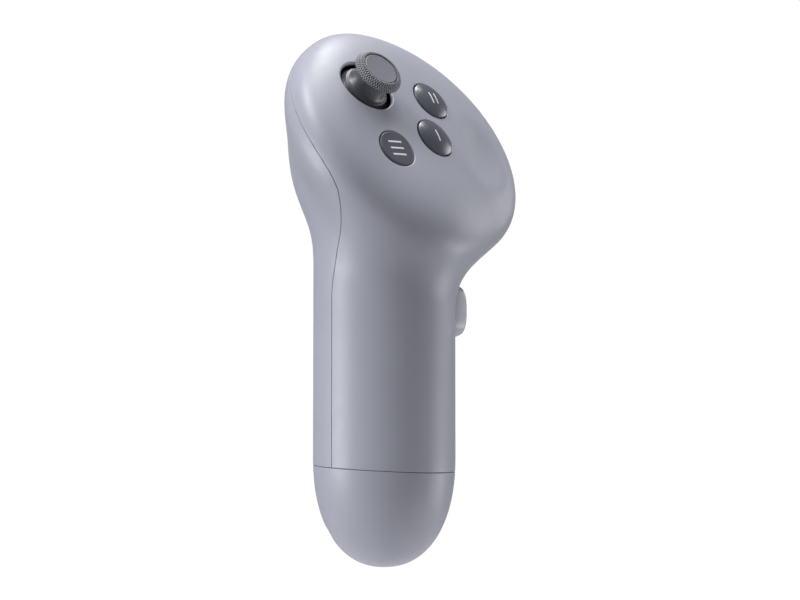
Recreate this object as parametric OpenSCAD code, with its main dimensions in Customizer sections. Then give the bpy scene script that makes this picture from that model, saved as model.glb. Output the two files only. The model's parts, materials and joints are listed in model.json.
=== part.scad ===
// Hand-held motion controller for the left hand.
// Frame: +Z runs up the handle's axis, the control face looks to -Y, the trigger is on the +Y side.
// The origin is on the handle's axis, in the middle of the palm.

/* [Handle] */
// Diameter of the round handle
grip_d = 36.2; // [32:0.1:44]
// How far below the origin the handle's dome starts
grip_below = 27; // [22:0.5:36]
// How far above the origin the straight handle runs before it swells into the head
grip_above = 22.5; // [18:0.5:30]
// Height of the rounded bottom end
dome_h = 28; // [22:0.5:36]
// Squareness of the rounded bottom end
dome_power = 2.24; // [1.8:0.02:3]

/* [Head] */
// Angle of the control face above the horizontal
head_tilt = 31; // [20:1:45]
// Turn of the head about the handle's axis
head_turn = 4.4; // [-10:0.2:15]
// Head centre to the right of the handle's axis
head_x = 5.3; // [0:0.1:10]
// Head centre ahead of the handle's axis
head_y = 1.7; // [0:0.1:6]
// Height of the head centre above the origin
head_z = 51.8; // [46:0.2:62]
// Reach of the head from its centre to the left
head_left = 33.5; // [30:0.5:42]
// Reach of the head from its centre to the right
head_right = 38.5; // [34:0.5:48]
// Reach of the head from its centre up the face
head_top = 35.1; // [31:0.1:44]
// Reach of the head from its centre down the face
head_bottom = 34.4; // [30:0.1:43]
// Height of the face over the head's middle plane
face_rise = 11; // [9.5:0.1:14]
// Depth of the belly under the head's middle plane
belly_depth = 16; // [14:0.1:20]
// Squareness of the face's section
face_power = 3; // [2.4:0.1:4]
// Squareness of the belly's section
belly_power = 1.93; // [1.8:0.01:2.4]
// Size of the blend between handle and head
neck_blend = 11.4; // [8:0.1:16]

/* [Trigger housing] */
// Centre of the swelling round the trigger
lobe_at = [-3.2, 9.4, 45.2]; // [-60:0.1:60]
// Half sizes of the swelling: across, along, deep
lobe_size = [15.2, 15.6, 11.8]; // [8:0.1:20]
// Lean of the swelling
lobe_tilt = 26; // [10:1:40]
// Size of the blend round the swelling
lobe_blend = 11.1; // [8:0.1:14]

/* [Thumb rest] */
// Place of the thumb rest on the face: right, up
rest_at = [21.2, -6.4]; // [-30:0.1:30]
// Half sizes of the thumb's shape: across, along, deep
rest_size = [19, 26, 12]; // [8:0.5:30]
// Turn of the thumb rest on the face
rest_turn = -18; // [-45:1:45]
// Depth of the thumb rest
rest_depth = 1.5; // [0.5:0.1:2]

/* [Shells] */
// Wall thickness of the shells
wall = 2; // [1.6:0.1:2.4]
// Gap along the parting line
seam_gap = 0.1; // [0.05:0.01:0.2]
// Gap round pieces that move in the shells
side_gap = 0.25; // [0.15:0.05:0.4]

/* [Battery] */
// Diameter of the cell
cell_d = 14.5; // [13.5:0.1:14.5]
// Length of the cell
cell_l = 50.5; // [49.5:0.1:50.5]
// Height of the cell's lower end, from the origin
cell_z = -50; // [-51:0.1:-48]
// Clearance round the cell
cell_gap = 0.4; // [0.3:0.05:0.6]
// Height of the seam between shells and battery cap on the handle's axis
cap_seam_z = -30; // [-32:0.5:-24]
// Lean of that seam
cap_seam_tilt = 4; // [0:0.5:6]
// How far the cap's collar reaches into the shells
collar_h = 5; // [3:0.5:7]
// Radius of the lanyard hole in the cap
lanyard_r = 1.2; // [1:0.1:1.4]
// Length of the lanyard hole
lanyard_l = 16; // [14:0.5:17]

/* [Thumbstick] */
// Place of the thumbstick on the face: right, up
stick_at = [-13.3, 11.5]; // [-30:0.1:30]
// Radius of the well in the face
well_r = 7.7; // [7:0.1:8.5]
// Depth of the tilting point under the face
pivot_depth = 7; // [6.5:0.1:7.5]
// Outer radius of the dome under the cap
dome_r = 8.85; // [8.6:0.05:8.9]
// Wall of the dome
dome_wall = 0.7; // [0.6:0.05:0.8]
// Radius of the cap
stick_cap_r = 6.7; // [6:0.1:7.5]
// Height of the cap's top over the face
stick_top = 6.6; // [6:0.1:7.5]
// Radius of the disc let into the cap
disc_r = 4.8; // [4:0.1:5.2]
// Radius of the shaft
shaft_r = 0.75; // [0.6:0.05:0.8]
// Press travel of the stick
stick_travel = 0.5; // [0.3:0.1:0.6]

/* [Buttons] */
// Place of the upper button on the face: right, up
upper_at = [8.4, 9.0]; // [-30:0.1:30]
// Place of the lower button on the face: right, up
lower_at = [2.8, -3.7]; // [-30:0.1:30]
// Place of the menu button on the face: right, up
menu_at = [-13.4, -8.5]; // [-30:0.1:30]
// Radius of the two domed buttons
button_r = 5.5; // [5:0.1:6]
// Height of the domed buttons over the face
button_rise = 1.3; // [1:0.1:1.8]
// Travel of the domed buttons
button_travel = 0.8; // [0.5:0.1:1]
// Radius of the menu button
menu_r = 5.2; // [4.5:0.1:5.5]
// Travel of the menu button
menu_travel = 0.4; // [0.3:0.1:0.6]

/* [Trigger] */
// Width of the trigger
trigger_w = 14; // [12:0.5:15]
// Trigger pin behind the swelling's centre and above it
trigger_pin_at = [5.6, 6.8]; // [0:0.1:10]
// Radius of the trigger pin
trigger_pin_r = 1; // [0.8:0.1:1.2]

/* [Grip button] */
// Height of the grip button's lower edge above the origin
pad_z = 3.4; // [3:0.1:5]
// Height of the grip button
pad_h = 13.7; // [11:0.1:13.7]
// How far the grip button stands out of the handle
pad_out = 3.3; // [2:0.1:4]
// Direction of the grip button's free edge, from +X
pad_from = -33; // [-40:1:-25]
// Direction of the grip button's hinged edge, from +X
pad_to = 22; // [18:1:26]
// Radius of the grip pin
grip_pin_r = 0.8; // [0.6:0.1:1]

/* [Electronics] */
// Height of the board's top over the head's middle plane
board_top = -4; // [-4.4:0.1:-3.8]
// Thickness of the board
board_t = 1.2; // [0.8:0.1:1.6]
// Distance from the head's rim to the board's edge
board_margin = 6; // [5.5:0.1:8]
// Lower edge of the board, from the head's centre
board_low = -20; // [-21:0.5:-16]
// Diameter of the haptic motor
motor_d = 12; // [8:0.5:12]
// Height of the haptic motor
motor_h = 7; // [4:0.5:8]

/* [Hidden] */
$fn = 48;

body_colour = [0.66, 0.67, 0.72];
dark_colour = [0.30, 0.31, 0.36];
grip_r = grip_d / 2;
inner_r = grip_r - wall;
fit_gap = 0.04;

// ---- the outer skin, as a signed distance that is negative inside ----

function clamp01(t) = max(0, min(1, t));
function smooth_min(a, b, k) =
  let (h = clamp01(0.5 + 0.5 * (b - a) / k))
  b * (1 - h) + a * h - k * h * (1 - h);
function super_distance(q, size, ring_power, side_power) =
  let (a = abs(q.x) / size.x + 1e-9)
  let (b = abs(q.y) / size.y + 1e-9)
  let (e = abs(q.z) / size.z + 1e-9)
  let (s = pow(pow(a, ring_power) + pow(b, ring_power), 1 / ring_power))
  let (r = pow(pow(s, side_power) + pow(e, side_power), 1 / side_power))
  let (k = pow(r, 1 - side_power) * pow(s, side_power - ring_power))
  let (ga = k * pow(a, ring_power - 1) / size.x)
  let (gb = k * pow(b, ring_power - 1) / size.y)
  let (ge = pow(r, 1 - side_power) * pow(e, side_power - 1) / size.z)
  (r - 1) / norm([ga, gb, ge]);

head_c = [head_x, head_y, head_z];
head_u = [cos(head_turn), sin(head_turn), 0];
head_n = [sin(head_turn) * cos(head_tilt), -cos(head_turn) * cos(head_tilt), sin(head_tilt)];
head_w = cross(head_n, head_u);
function to_head(p) = let (d = p - head_c) [d * head_u, d * head_w, d * head_n];
function from_head(q) = head_c + q.x * head_u + q.y * head_w + q.z * head_n;

neck_cap_h = 20;
function handle_f(p) =
  let (over = p.z < -grip_below ? -grip_below - p.z : max(0, p.z - grip_above))
  let (end_h = p.z < -grip_below ? dome_h : neck_cap_h)
  super_distance([p.x, p.y, over], [grip_r, grip_r, end_h], 2, dome_power);
function head_size(q) = [
  q.x > 0 ? head_right : head_left,
  q.y > 0 ? head_top : head_bottom,
  q.z > 0 ? face_rise : belly_depth];
function head_f(p) =
  let (q = to_head(p))
  super_distance(q, head_size(q), 2, q.z > 0 ? face_power : belly_power);
function lobe_f(p) =
  let (d = p - lobe_at)
  let (q = [d.x, d.y * sin(lobe_tilt) + d.z * cos(lobe_tilt),
    d.z * sin(lobe_tilt) - d.y * cos(lobe_tilt)])
  super_distance(q, lobe_size, 2, 2);

// The face's height over the head's middle plane, and its normal, at a place [right, up].
function rim_share(q) = norm([q.x / head_size([q.x, q.y, 0]).x, q.y / head_size([q.x, q.y, 0]).y]);
function face_h(q) = face_rise * pow(1 - pow(rim_share(q), face_power), 1 / face_power);
function face_normal(q) =
  let (a = head_size([q.x, q.y, 0]))
  let (k = pow(rim_share(q), face_power - 2))
  let (g = [k * q.x / pow(a.x, 2), k * q.y / pow(a.y, 2),
    pow(face_h(q), face_power - 1) / pow(face_rise, face_power)])
  g / norm(g);
function face_right(q) = let (n = face_normal(q)) let (v = [1, 0, 0] - n.x * n) v / norm(v);

rest_n = face_normal(rest_at);
rest_u = cos(rest_turn) * face_right(rest_at) + sin(rest_turn) * cross(rest_n, face_right(rest_at));
rest_c = [rest_at.x, rest_at.y, face_h(rest_at)] + (rest_size.z - rest_depth) * rest_n;
rest_blend = 1.6;
function rest_f(p) =
  let (d = to_head(p) - rest_c)
  super_distance([d * rest_u, d * cross(rest_n, rest_u), d * rest_n], rest_size, 2, 2);
function skin_f(p) =
  let (f = smooth_min(handle_f(p), head_f(p), neck_blend))
  let (g = smooth_min(f, lobe_f(p), lobe_blend))
  -smooth_min(-g, rest_f(p), rest_blend);

// Length from o along dir to the level where the skin lies `inset` outside.
function reach(o, dir, near, far, inset, steps = 15) =
  let (mid = (near + far) / 2)
  steps == 0 ? mid
  : skin_f(o + mid * dir) < -inset ? reach(o, dir, mid, far, inset, steps - 1)
  : reach(o, dir, near, mid, inset, steps - 1);

// The highest point of the head.
top_power = face_power / (face_power - 1);
top_parts = [pow(head_top * head_w.z, top_power), pow(face_rise * head_n.z, top_power)];
top_sum = top_parts.x + top_parts.y;
top_q = [0, head_top * pow(top_parts.x / top_sum, 1 / face_power),
  face_rise * pow(top_parts.y / top_sum, 1 / face_power)];
top_dir = (from_head(top_q) - head_c) / norm(top_q);
function top_point(inset) = head_c + reach(head_c, top_dir, 0, 2 * norm(top_q), inset) * top_dir;
function spine(z, top) =
  z < grip_above ? [0, 0]
  : z < head_z ? [head_x, head_y] * (z - grip_above) / (head_z - grip_above)
  : [head_x, head_y] + ([top.x, top.y] - [head_x, head_y]) * (z - head_z) / (top.z - head_z);

// A closed solid bounded by the skin moved inwards by `inset`, open ended below at z_low.
module skin_solid(inset, z_low, around, rings) {
  top = top_point(inset);
  z_bend = grip_above - 10;
  zs = concat([for (i = [0 : 2]) z_low + (-grip_below - z_low) * i / 2],
    [for (i = [0 : rings - 1]) z_bend + (top.z - z_bend) * sin(90 * i / rings)]);
  far = grip_r + head_right;
  pts = [for (z = zs) for (j = [0 : around - 1])
    let (c = spine(z, top))
    let (dir = [cos(360 * j / around), sin(360 * j / around), 0])
    let (o = [c.x, c.y, z])
    o + reach(o, dir, 0, far, inset) * dir];
  count = len(pts);
  last = len(zs) - 1;
  sides = [for (i = [0 : last - 1]) for (j = [0 : around - 1])
    let (a = i * around + j)
    let (b = i * around + (j + 1) % around)
    each [[a, a + around, b + around], [a, b + around, b]]];
  lids = [for (j = [0 : around - 1])
    let (k = (j + 1) % around)
    each [[last * around + j, count, last * around + k], [count + 1, j, k]]];
  polyhedron(concat(pts, [top, [0, 0, z_low]]), concat(sides, lids), convexity = 8);
}

// ---- frames on the head ----

module in_head() {
  translate(head_c) rotate([90 - head_tilt, 0, head_turn]) children();
}
module on_face(q) {
  n = face_normal(q);
  r = face_right(q);
  t = cross(n, r);
  in_head()
    multmatrix([[r.x, t.x, n.x, q.x], [r.y, t.y, n.y, q.y], [r.z, t.z, n.z, face_h(q)], [0, 0, 0, 1]])
      children();
}
module at_pivot() {
  on_face(stick_at) translate([0, 0, -pivot_depth]) children();
}

// ---- parting lines ----

// The side parting line: height up the handle against distance from the middle plane.
seam_points = [[16, 0.9], [24, -1.4], [33, -6.4], [38, -7.9], [43, -6.6], [50, -2.2], [60, 5.4],
  [70, 13], [95, 30]];
seam_soft = 3;
function seam_v(z) =
  (lookup(z - seam_soft, seam_points) + 2 * lookup(z, seam_points) + lookup(z + seam_soft, seam_points)) / 4;
seam_reach = 90;
seam_from = -60.7;
seam_to = 93.3;
module seam_side(side) {
  line = [for (z = [seam_from : 2 : seam_to]) [seam_v(z) + side * seam_gap / 2, z]];
  rotate([0, 0, head_turn]) rotate([90, 0, 90])
    linear_extrude(height = 2 * seam_reach, center = true)
      polygon(concat(line, [[side * seam_reach, seam_to], [side * seam_reach, seam_from]]));
}
// Everything above the cap's seam, or below it.
module cap_side(side) {
  translate([0, 0, cap_seam_z]) rotate([cap_seam_tilt, 0, 0])
    translate([0, 0, side * (seam_reach + seam_gap / 2)])
      cube(2 * seam_reach, center = true);
}

// ---- places in the handle ----

trigger_pin_y = lobe_at.y + trigger_pin_at.x;
trigger_pin_z = lobe_at.z + trigger_pin_at.y;
trigger_drop = 21;
grip_pin_angle = pad_to - 9;
grip_pin_at = (inner_r - 1.8) * [cos(grip_pin_angle), sin(grip_pin_angle)];
pad_r = grip_r + pad_out;
pad_far = norm(pad_r * [cos(pad_from), sin(pad_from)] - grip_pin_at);
tube_r = cell_d / 2 + cell_gap;
tube_wall = 1.2;
tube_top = cell_z + cell_l + 1.5;
post_x = tube_r + 0.6;
shell_low = cap_seam_z - 7.5;

// A wedge about +Z that spans the grip button.
module pad_wedge(z, h, grow_side, grow_end) {
  intersection() {
    translate([grip_pin_at.x, grip_pin_at.y, z - grow_side])
      cylinder(r = pad_far + grow_side, h = h + 2 * grow_side);
    rotate([0, 0, pad_to]) translate([0, -3 * grip_d + grow_end, z - grow_side])
      cube([3 * grip_d, 3 * grip_d, h + 2 * grow_side]);
  }
}
module trigger_slot() {
  translate([-trigger_w / 2 - side_gap, trigger_pin_y - 5, trigger_pin_z - trigger_drop - 1.2])
    cube([trigger_w + 2 * side_gap, 40, trigger_drop + 2.4]);
}
module face_holes() {
  on_face(stick_at) translate([0, 0, -6]) cylinder(r = well_r, h = 14);
  for (q = [upper_at, lower_at])
    on_face(q) translate([0, 0, -6]) cylinder(r = button_r + side_gap, h = 14);
  on_face(menu_at) translate([0, 0, -6]) cylinder(r = menu_r + side_gap, h = 14);
}
screw_places = [[21, 14], [-23, -4], [14, -15]];
post_r = 2.1;
screw_r = 0.7;

module shell(side) {
  angles = side < 0 ? [for (i = [0 : 8]) 200 + 17 * i] : [for (i = [0 : 8]) 20 + 17 * i];
  intersection() {
    difference() {
      union() {
        difference() {
          skin_solid(0, shell_low, 60, 40);
          skin_solid(wall, shell_low - 1, 40, 28);
        }
        for (a = angles)
          rotate([0, 0, a]) hull() for (x = [inner_r - 1, inner_r + 0.5])
            translate([x, 0, cap_seam_z + collar_h + 2])
              cylinder(r = 0.5, h = -cap_seam_z - collar_h - 4, $fn = 8);
        if (side < 0)
          for (q = screw_places)
            hull() for (z = [board_top, face_h(q) - wall + 0.3])
              in_head() translate([q.x, q.y, z - 0.4]) cylinder(r = post_r, h = 0.4, $fn = 24);
      }
      if (side < 0) {
        face_holes();
        for (q = screw_places)
          in_head() translate([q.x, q.y, board_top - 1]) cylinder(r = screw_r + 0.1, h = 6.5, $fn = 16);
      }
      if (side > 0) trigger_slot();
      difference() {
        pad_wedge(pad_z, pad_h, side_gap + 0.1, 0.9);
        cylinder(r = inner_r - 4, h = 200, center = true);
      }
    }
    seam_side(side);
    cap_side(1);
  }
}
module front_shell() {
  color(body_colour) shell(-1);
}
module rear_shell() {
  color(body_colour) shell(1);
}

// ---- battery cap and battery ----

function dome_edge(t, r) = r * pow(1 - pow(t, dome_power), 1 / dome_power);
module cap_solid(inset, z_high) {
  steps = 24;
  h = dome_h - inset;
  r = grip_r - inset;
  rotate_extrude($fn = 72)
    polygon(concat([[0, z_high], [r, z_high]],
      [for (i = [0 : steps]) let (t = sin(90 * i / steps))
        [i == steps ? 0 : dome_edge(t, r), -grip_below - h * t]]));
}
lanyard_y = cell_d / 2 + lanyard_r + 1.15;
lanyard_z = cell_z + 3;
module battery_cap() {
  color(body_colour) difference() {
    union() {
      difference() {
        intersection() {
          cap_solid(0, -10);
          cap_side(-1);
        }
        cap_solid(wall, 0);
      }
      intersection() {
        cap_solid(wall / 2, -10);
        translate([-30, lanyard_y - lanyard_r - 0.9, lanyard_z - 2.8]) cube([60, 30, 5.6]);
      }
      difference() {
        translate([0, 0, cap_seam_z - 3]) cylinder(r = inner_r - 0.4, h = collar_h + 3);
        translate([0, 0, cap_seam_z - 4]) cylinder(r = inner_r - 1.7, h = collar_h + 5);
      }
      difference() {
        translate([0, 0, cap_seam_z - 6]) cylinder(r = inner_r + 0.4, h = 4.5);
        translate([0, 0, cap_seam_z - 7]) cylinder(r = inner_r - 1.7, h = 6);
        cap_side(1);
      }
    }
    translate([0, lanyard_y, lanyard_z]) rotate([0, 90, 0])
      cylinder(r = lanyard_r, h = 60, center = true);
    for (s = [-1, 1])
      translate([s * (lanyard_l / 2 + 10), lanyard_y, lanyard_z]) rotate([0, 90, 0])
        cylinder(r = 2.2, h = 20, center = true);
  }
}
module cap_contact() {
  color("silver") {
    translate([0, 0, cell_z - 0.6]) cylinder(r = 4.5, h = 0.4);
    for (a = [0, 180]) rotate([0, 0, a + 45])
      translate([2, -1.5, cell_z - 1.1]) cube([2.4, 3, 0.5]);
  }
}
module aa_cell() {
  color("darkgreen") {
    translate([0, 0, cell_z]) cylinder(d = cell_d, h = cell_l - 1.4);
    translate([0, 0, cell_z + cell_l - 1.4]) cylinder(d = 5.3, h = 1.4);
  }
}

function coil_points(r, pitch, turns, per_turn) =
  [for (i = [0 : turns * per_turn]) [r * cos(360 * i / per_turn), r * sin(360 * i / per_turn),
    pitch * i / per_turn]];
// A coil spring of round wire that stands on z = 0 of its own frame.
module coil(r, wire_d, length, turns) {
  sides = 6;
  per_turn = 14;
  path = coil_points(r, (length - wire_d) / turns, turns, per_turn);
  last = len(path) - 1;
  pts = [for (i = [0 : last]) for (k = [0 : sides - 1])
    let (a = 360 * i / per_turn)
    let (b = 360 * k / sides)
    path[i] + wire_d / 2 * [cos(a) * cos(b), sin(a) * cos(b), sin(b)] + [0, 0, wire_d / 2]];
  skin = [for (i = [0 : last - 1]) for (k = [0 : sides - 1])
    let (a = i * sides + k)
    let (b = i * sides + (k + 1) % sides)
    each [[a, b, b + sides], [a, b + sides, a + sides]]];
  ends = [[for (k = [0 : sides - 1]) sides - 1 - k], [for (k = [0 : sides - 1]) last * sides + k]];
  polyhedron(pts, concat(skin, ends), convexity = 8);
}
module battery_spring() {
  color("silver") translate([0, 0, cell_z + cell_l + 0.05]) coil(4, 0.5, 1.4, 2);
}
module contact_strip() {
  color("gold") translate([-tube_r - tube_wall - 0.45, -2, cap_seam_z + 4])
    cube([0.4, 4, tube_top - cap_seam_z - 4]);
}

// ---- chassis: battery tube, posts, trigger ears and grip bracket ----

deck_n = -8.2;
deck_t = 1.4;
ear_x = trigger_w / 2 + 0.6;
module chassis() {
  color("dimgray") difference() {
    union() {
      translate([0, 0, cap_seam_z + 1]) cylinder(r = tube_r + tube_wall, h = tube_top - cap_seam_z - 1);
      translate([0, 0, tube_top]) cylinder(r = tube_r + tube_wall, h = 1.4);
      for (s = [-1, 1]) translate([s * (post_x + 0.5) - 1, -5, tube_top])
        cube([2, 6, grip_above + 8.5 - tube_top]);
      translate([0, 0, grip_above - motor_h - 1]) cylinder(r = post_x + 1, h = 1.4);
      in_head() translate([-head_x - 11, -24, deck_n]) cube([22, 44, deck_t]);
      for (s = [-1, 1]) {
        translate([s * (ear_x + 0.8) - 0.8, trigger_pin_y - 5.5, trigger_pin_z - 1.8]) cube([1.6, 5.5, 3.6]);
        translate([s * (ear_x + 0.8), trigger_pin_y, trigger_pin_z]) rotate([0, 90, 0])
          cylinder(r = 1.8, h = 1.6, center = true);
      }
      for (z = [pad_z - 2.4, pad_z + pad_h + 0.8]) {
        translate([grip_pin_at.x, grip_pin_at.y, z]) cylinder(r = 1.7, h = 1.6);
        translate([post_x, -1.5, z])
          rotate([0, 0, atan2(grip_pin_at.y, grip_pin_at.x - post_x)])
            cube([norm(grip_pin_at - [post_x, 0]), 2.4, 1.6]);
      }
    }
    translate([0, 0, cap_seam_z]) cylinder(r = tube_r, h = tube_top - cap_seam_z);
    translate([0, trigger_pin_y, trigger_pin_z]) rotate([0, 90, 0])
      cylinder(r = trigger_pin_r, h = 60, center = true);
    translate([grip_pin_at.x, grip_pin_at.y, -20]) cylinder(r = grip_pin_r, h = 60);
  }
}
module haptic_motor() {
  color("silver") translate([0, 0, grip_above - motor_h + 0.4]) cylinder(d = motor_d, h = motor_h);
}

// ---- thumbstick ----

frame_w = 10.4;
frame_wall = 1.1;
frame_top = 1.2;
axle_r = 0.8;
ring_in = 1.9;
ring_out = 2.9;
ring_h = 0.9;
bail_in = 3.35;
bail_out = 4.05;
core_r = 1.5;
cross_r = 0.5;
foot_r = 2.7;
module thumbstick_cap() {
  z0 = stick_top + pivot_depth;
  color(dark_colour) at_pivot() difference() {
    rotate_extrude()
      polygon([[shaft_r, z0 - 2.9], [2.6, z0 - 2.9], [4.4, z0 - 2.75], [stick_cap_r - 0.7, z0 - 2.45],
        [stick_cap_r - 0.1, z0 - 2.1], [stick_cap_r, z0 - 1.6], [stick_cap_r - 0.2, z0 - 1],
        [stick_cap_r - 0.8, z0 - 0.4], [disc_r + 0.5, z0], [disc_r + 0.1, z0 - 0.1],
        [disc_r + 0.1, z0 - 1], [shaft_r, z0 - 1]]);
    cylinder(r = shaft_r, h = 30);
  }
}
module thumbstick_disc() {
  color([0.5, 0.51, 0.56]) at_pivot() translate([0, 0, stick_top + pivot_depth - 1])
    cylinder(r = disc_r, h = 0.75);
}
neck_r = 2.9;
module thumbstick_dome() {
  z0 = stick_top + pivot_depth - 2.9;
  color(dark_colour) at_pivot() difference() {
    union() {
      intersection() {
        sphere(r = dome_r, $fn = 96);
        translate([0, 0, 1.5]) cylinder(r = 2 * dome_r, h = dome_r);
      }
      translate([0, 0, dome_r - 1]) cylinder(r1 = neck_r + 1.2, r2 = neck_r, h = z0 - dome_r + 1);
    }
    sphere(r = dome_r - dome_wall, $fn = 96);
    cylinder(r = shaft_r, h = 30);
  }
}
module stick_shaft() {
  color("silver") at_pivot() translate([0, 0, -foot_r + 0.2])
    cylinder(r = shaft_r, h = stick_top + pivot_depth - 1 + foot_r - 0.2);
}
module stick_core() {
  color("gray") at_pivot() difference() {
    union() {
      sphere(r = core_r);
      rotate([0, 90, 0]) cylinder(r = cross_r, h = 2 * ring_out - 0.4, center = true);
    }
    cylinder(r = shaft_r + fit_gap, h = 4 * core_r, center = true);
  }
}
module gimbal_ring() {
  color("dimgray") at_pivot() difference() {
    union() {
      cube([2 * ring_out, 2 * ring_out, 2 * ring_h], center = true);
      rotate([90, 0, 0]) cylinder(r = axle_r, h = frame_w - 0.4, center = true);
    }
    cube([2 * ring_in, 2 * ring_in, 3 * ring_h], center = true);
    rotate([0, 90, 0]) cylinder(r = cross_r + fit_gap, h = 4 * ring_out, center = true);
  }
}
module gimbal_bail() {
  color("dimgray") at_pivot() difference() {
    union() {
      intersection() {
        rotate([90, 0, 0]) difference() {
          cylinder(r = bail_out, h = 2.8, center = true);
          cylinder(r = bail_in, h = 4, center = true);
        }
        translate([0, 0, 3.2]) cube([12, 12, 8], center = true);
      }
      for (s = [-1, 1]) translate([s * (bail_in + frame_w / 2 - 0.2) / 2, 0, 0]) rotate([0, 90, 0])
        cylinder(r = axle_r, h = frame_w / 2 - 0.2 - bail_in, center = true);
    }
    translate([0, 0, bail_out]) cube([2 * bail_in - 2, 2 * (shaft_r + 0.1), 4], center = true);
  }
}
floor_z = -6.5;
module stick_housing() {
  color("silver") at_pivot() {
    difference() {
      union() {
        translate([-frame_w / 2, -frame_w / 2, floor_z]) cube([frame_w, frame_w, frame_top - floor_z]);
        translate([-6, -6, floor_z]) cube([12, 12, 0.8]);
      }
      translate([frame_wall - frame_w / 2, frame_wall - frame_w / 2, floor_z + 0.8])
        cube([frame_w - 2 * frame_wall, frame_w - 2 * frame_wall, 20]);
      rotate([90, 0, 0]) cylinder(r = axle_r + fit_gap, h = 20, center = true);
      rotate([0, 90, 0]) cylinder(r = axle_r + fit_gap, h = 20, center = true);
    }
  }
}
module stick_spring() {
  color("silver") at_pivot() translate([0, 0, floor_z + 0.85]) coil(2.4, 0.4, 1.7, 3);
}
module centring_plate() {
  color("white") at_pivot() translate([0, 0, -foot_r - stick_travel - 0.75]) cylinder(r = 3.4, h = 0.6);
}
module stick_switch() {
  color("black") in_head() translate([stick_at.x - 3, stick_at.y + 8.2, board_top + 0.02]) cube([6, 4, 2.6]);
}

// ---- buttons ----

mat_h = 2.4;
// Length of a button's stem under the face, down to just over its rubber dome.
function stem_l(q, travel) = face_h(q) - board_top - mat_h - travel - 0.45;
module button(q, r, rise, edge, travel) {
  flange = wall + 0.6;
  l = stem_l(q, travel);
  steps = 6;
  on_face(q) rotate_extrude()
    polygon(concat([[0, rise]],
      [for (i = [1 : steps]) let (t = i / steps) [(r - 0.4) * t, edge + (rise - edge) * (1 - t * t)]],
      [[r, edge - 0.4], [r, -flange], [r + 0.9, -flange], [r + 0.9, -flange - 0.8],
        [2.4, -flange - 0.8], [2.2, -l], [0, -l]]));
}
mark_t = 0.12;
mark_l = 3.6;
mark_w = 0.55;
// Raised tick marks, one for the lower button and two for the upper one.
module button_mark(q, count) {
  pitch = 1.7;
  on_face(q) for (i = [0 : count - 1])
    translate([(i - (count - 1) / 2) * pitch - mark_w / 2, -mark_l / 2, button_rise - 0.12])
      cube([mark_w, mark_l, mark_t + 0.12]);
}
module rubber_dome(q) {
  in_head() translate([q.x, q.y, 0] - (face_h(q) - board_top) / face_normal(q).z
    * [face_normal(q).x, face_normal(q).y, 0] + [0, 0, board_top + 0.02])
    rotate_extrude()
      polygon([[2.2, 0], [4.6, 0], [4.6, 0.5], [3.7, 0.6], [2.7, mat_h], [0, mat_h], [0, mat_h - 0.8],
        [1.9, mat_h - 0.8], [2.9, 0.5]]);
}
module button_with_seat(q, count) {
  difference() {
    button(q, button_r, button_rise, 0.35, button_travel);
    button_mark(q, count);
  }
}
module upper_button() {
  color(dark_colour) button_with_seat(upper_at, 2);
}
module upper_button_mark() {
  color("lightgray") button_mark(upper_at, 2);
}
module upper_rubber_dome() {
  color("lightgray") rubber_dome(upper_at);
}
module lower_button() {
  color(dark_colour) button_with_seat(lower_at, 1);
}
module lower_button_mark() {
  color("lightgray") button_mark(lower_at, 1);
}
module lower_rubber_dome() {
  color("lightgray") rubber_dome(lower_at);
}
icon_pitch = 1.9;
icon_w = 4.5;
icon_t = 0.5;
menu_rise = 0.1;
module menu_icon_bars() {
  on_face(menu_at) for (i = [-1 : 1])
    translate([-icon_w / 2, i * icon_pitch - icon_t / 2, menu_rise - 0.3]) cube([icon_w, icon_t, 0.32]);
}
module menu_button() {
  color([0.42, 0.43, 0.49]) difference() {
    button(menu_at, menu_r, menu_rise, menu_rise, menu_travel);
    menu_icon_bars();
  }
}
module menu_icon() {
  color("lightgray") menu_icon_bars();
}
module menu_rubber_dome() {
  color("lightgray") rubber_dome(menu_at);
}

// ---- electronics in the head ----

function rim_line(margin, from, to, steps) = [for (i = [0 : steps])
  let (a = from + (to - from) * i / steps)
  let (s = head_size([cos(a), sin(a), 0]))
  [(s.x - margin) * cos(a), (s.y - margin) * sin(a)]];
module main_board() {
  color("darkgreen") in_head() difference() {
    intersection() {
      translate([0, 0, board_top - board_t]) linear_extrude(height = board_t)
        polygon(rim_line(board_margin, 0, 354, 59));
      translate([-50, board_low, -20]) cube([100, 100, 40]);
    }
    for (q = screw_places) translate([q.x, q.y, -20]) cylinder(r = screw_r + 0.25, h = 40);
  }
}
chips = [[8, 19, 7, 7], [-4, 22, 5, 4], [21, -2, 6, 8], [-8, 0, 6, 5], [19, 6, 4, 3]];
module board_chips() {
  color("black") in_head() for (c = chips)
    translate([c[0] - c[2] / 2, c[1] - c[3] / 2, board_top + 0.02]) cube([c[2], c[3], 1.1]);
}
module board_screws() {
  color("silver") in_head() for (q = screw_places) {
    translate([q.x, q.y, board_top - board_t - 1.1]) cylinder(r = 1.5, h = 1.05);
    translate([q.x, q.y, board_top - board_t - 0.5]) cylinder(r = screw_r, h = board_t + 5.5);
  }
}
module touch_pad() {
  color("orange") on_face(rest_at) translate([0, 0, -rest_depth - wall - 1.7])
    rotate([0, 0, rest_turn]) scale([1, 1.2, 1]) cylinder(r = 6, h = 0.4);
}
flex_margin = 5;
flex_low = -2.4;
module led_flex() {
  color("orange") in_head() translate([0, 0, flex_low]) linear_extrude(height = 4.6)
    polygon(concat(rim_line(flex_margin, 25, 165, 40), rim_line(flex_margin + 0.5, 165, 25, 40)));
}
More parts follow.
